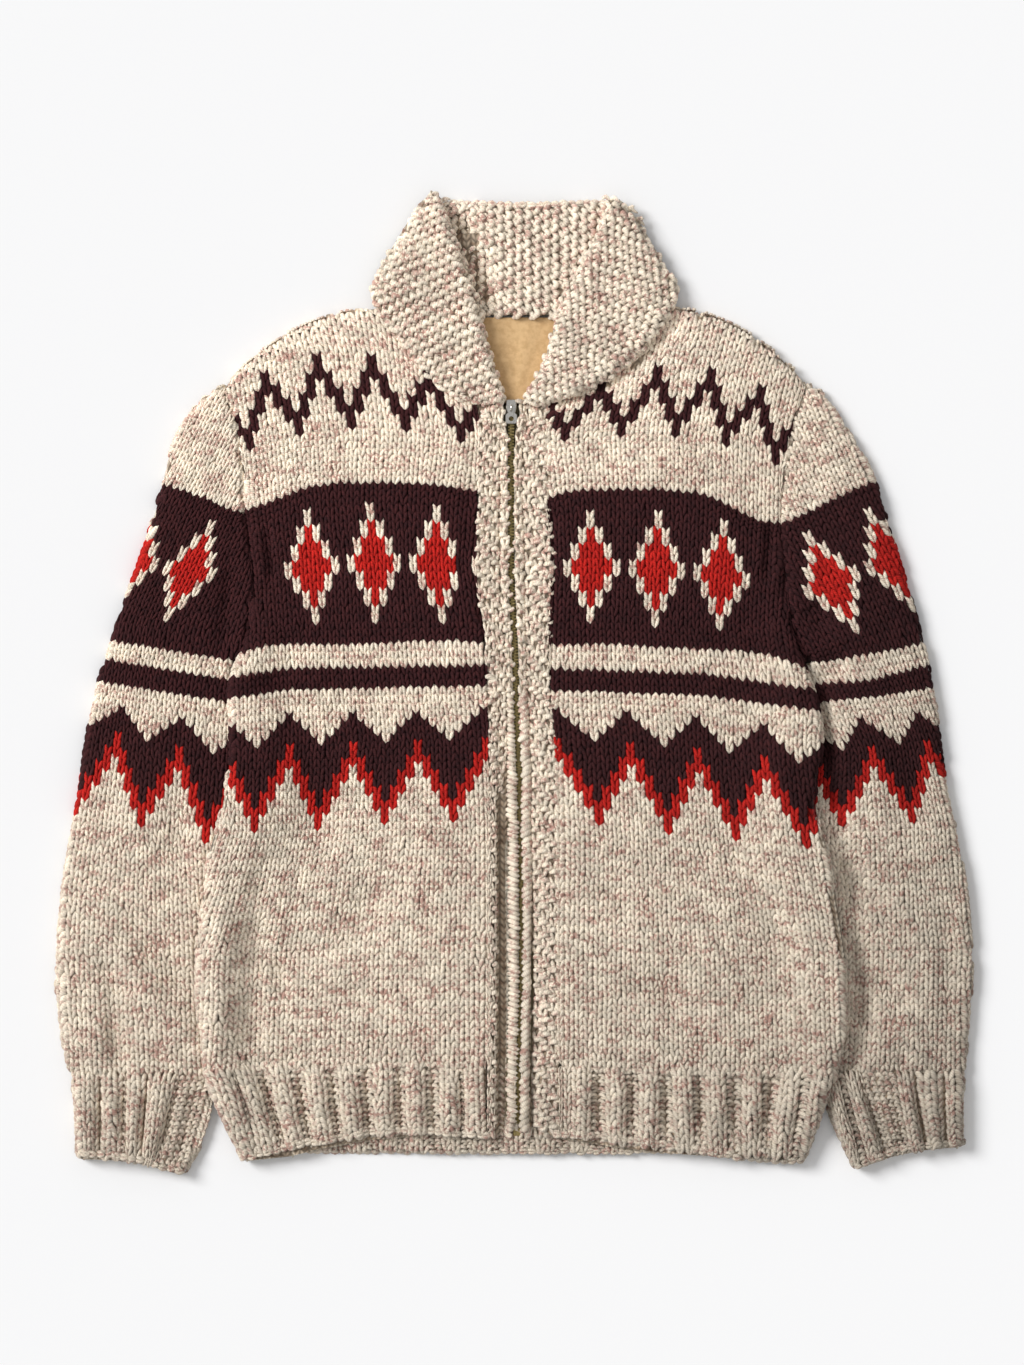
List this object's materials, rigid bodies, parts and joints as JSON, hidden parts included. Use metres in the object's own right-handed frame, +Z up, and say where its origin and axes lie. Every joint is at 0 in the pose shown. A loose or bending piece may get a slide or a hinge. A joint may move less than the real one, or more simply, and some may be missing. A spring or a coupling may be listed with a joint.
{
  "type": "cowichan cardigan",
  "caption": "Bulky hand-knitted zip cardigan with a shawl collar, laid flat with its front up, with a zigzag yoke, a band of diamonds, stripes and ribbed cuffs and hem.",
  "frame": {"origin": "centre of the bounding box on the surface that the garment lies on", "axes": "+Z up out of the front of the garment, +Y towards the collar, +X towards the wearer's left sleeve"},
  "size_m": [0.733, 0.7868, 0.0224],
  "materials": {
    "wool": "bulky two-ply hand-knitted wool, oatmeal marl with burgundy and red motifs",
    "lining_cotton": "plain-woven tan cotton",
    "zip_brass": "dulled brass teeth on a khaki tape",
    "zip_silver": "worn nickel-plated metal"
  },
  "bodies": {
    "garment": {"back": "wool", "front_right": "wool", "front_left": "wool", "sleeve_right": "wool", "sleeve_left": "wool", "cuff_right": "wool", "cuff_left": "wool", "hem_rib_back": "wool", "hem_rib_right": "wool", "hem_rib_left": "wool", "band_right": "wool", "band_left": "wool", "collar_back": "wool", "collar_right": "wool", "collar_left": "wool", "lining": "lining_cotton", "zip_right": "zip_brass", "zip_left": "zip_brass", "zip_stop": "zip_brass", "zip_slider": "zip_silver"},
    "pull_tab": {"zip_pull": "zip_silver"}
  },
  "joints": [
    {"name": "pull_tab_hinge", "type": "hinge", "parent": "garment", "child": "pull_tab", "pos_m": [-0.0022, 0.2202, 0.0113], "axis": [-1, 0, 0], "range_deg": [0, 140]}
  ]
}
